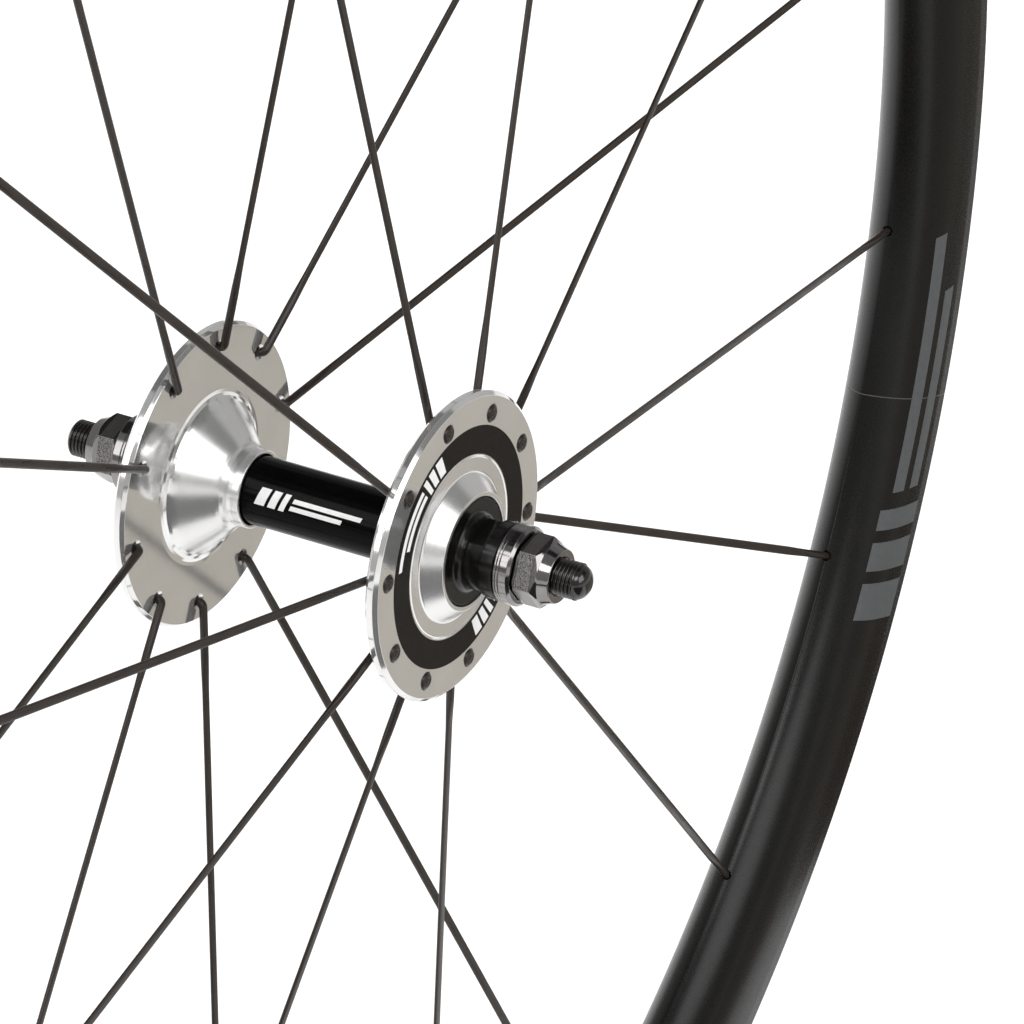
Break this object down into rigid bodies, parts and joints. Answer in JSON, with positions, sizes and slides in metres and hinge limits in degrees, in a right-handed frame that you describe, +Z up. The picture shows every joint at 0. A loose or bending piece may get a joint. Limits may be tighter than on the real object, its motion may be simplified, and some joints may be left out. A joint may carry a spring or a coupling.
{
  "type": "bicycle front wheel",
  "caption": "Track bicycle front wheel: aero clincher rim, radial bladed spokes, flanged hub on cartridge bearings, threaded axle with track nuts.",
  "frame": {"origin": "centre of the wheel, on the axle's axis and in the rim's middle plane", "axes": "+Y along the axle towards the far end, +Z up; the near end with the domed axle tip is on -Y"},
  "size_m": [0.6328, 0.141, 0.6328],
  "materials": {
    "black_anodised": "satin black anodised",
    "spoke_black": "black oxide coated stainless steel, soft sheen",
    "nipple_alloy": "plain alloy",
    "polished_alloy": "mirror polished",
    "barrel_black": "gloss black anodised",
    "chrome": "bright plated",
    "black_oxide": "black oxide, oiled",
    "cap_black": "semi-gloss black anodised",
    "bearing_steel": "ground",
    "cage_brass": "pressed"
  },
  "bodies": {
    "axle_set": {"axle": "black_oxide", "end_cap_near": "cap_black", "end_cap_far": "cap_black", "bearing_inner_race_near": "bearing_steel", "bearing_inner_race_far": "bearing_steel"},
    "wheel": {"rim": "black_anodised", "spoke_near_01": "spoke_black", "spoke_near_02": "spoke_black", "spoke_near_03": "spoke_black", "spoke_near_04": "spoke_black", "spoke_near_05": "spoke_black", "spoke_near_06": "spoke_black", "spoke_near_07": "spoke_black", "spoke_near_08": "spoke_black", "spoke_near_09": "spoke_black", "spoke_near_10": "spoke_black", "spoke_far_01": "spoke_black", "spoke_far_02": "spoke_black", "spoke_far_03": "spoke_black", "spoke_far_04": "spoke_black", "spoke_far_05": "spoke_black", "spoke_far_06": "spoke_black", "spoke_far_07": "spoke_black", "spoke_far_08": "spoke_black", "spoke_far_09": "spoke_black", "spoke_far_10": "spoke_black", "nipple_near_01": "nipple_alloy", "nipple_near_02": "nipple_alloy", "nipple_near_03": "nipple_alloy", "nipple_near_04": "nipple_alloy", "nipple_near_05": "nipple_alloy", "nipple_near_06": "nipple_alloy", "nipple_near_07": "nipple_alloy", "nipple_near_08": "nipple_alloy", "nipple_near_09": "nipple_alloy", "nipple_near_10": "nipple_alloy", "nipple_far_01": "nipple_alloy", "nipple_far_02": "nipple_alloy", "nipple_far_03": "nipple_alloy", "nipple_far_04": "nipple_alloy", "nipple_far_05": "nipple_alloy", "nipple_far_06": "nipple_alloy", "nipple_far_07": "nipple_alloy", "nipple_far_08": "nipple_alloy", "nipple_far_09": "nipple_alloy", "nipple_far_10": "nipple_alloy", "hub_barrel": "barrel_black", "hub_flange_near": "polished_alloy", "hub_flange_far": "polished_alloy", "bearing_outer_race_near": "bearing_steel", "bearing_outer_race_far": "bearing_steel"},
    "cage_near": {"bearing_cage_near": "cage_brass"},
    "cage_far": {"bearing_cage_far": "cage_brass"},
    "washer_near": {"nut_washer_near": "chrome"},
    "washer_far": {"nut_washer_far": "chrome"},
    "nut_near": {"track_nut_near": "chrome"},
    "nut_far": {"track_nut_far": "chrome"}
  },
  "joints": [
    {"name": "wheel_spin", "type": "hinge", "parent": "axle_set", "child": "wheel", "pos_m": [0, 0, 0], "axis": [0, 1, 0], "continuous": true},
    {"name": "cage_near_spin", "type": "hinge", "parent": "axle_set", "child": "cage_near", "pos_m": [0, -0.03465, 0], "axis": [0, 1, 0], "continuous": true},
    {"name": "cage_far_spin", "type": "hinge", "parent": "axle_set", "child": "cage_far", "pos_m": [0, 0.03465, 0], "axis": [0, 1, 0], "continuous": true},
    {"name": "washer_near_travel", "type": "slide", "parent": "axle_set", "child": "washer_near", "axis": [0, -1, 0], "range_m": [0, 0.006]},
    {"name": "nut_near_turn", "type": "hinge", "parent": "washer_near", "child": "nut_near", "pos_m": [0, -0.059, 0], "axis": [0, -1, 0], "range_deg": [0, 2160]},
    {"name": "washer_far_travel", "type": "slide", "parent": "axle_set", "child": "washer_far", "axis": [0, 1, 0], "range_m": [0, 0.006]},
    {"name": "nut_far_turn", "type": "hinge", "parent": "washer_far", "child": "nut_far", "pos_m": [0, 0.059, 0], "axis": [0, 1, 0], "range_deg": [0, 2160]}
  ],
  "couplings": [
    {"joint": "cage_near_spin", "follows": "wheel_spin", "ratio": 0.598},
    {"joint": "cage_far_spin", "follows": "wheel_spin", "ratio": 0.598},
    {"joint": "nut_near_turn", "follows": "washer_near_travel", "rad_per_m": 6283.2},
    {"joint": "nut_far_turn", "follows": "washer_far_travel", "rad_per_m": 6283.2}
  ]
}
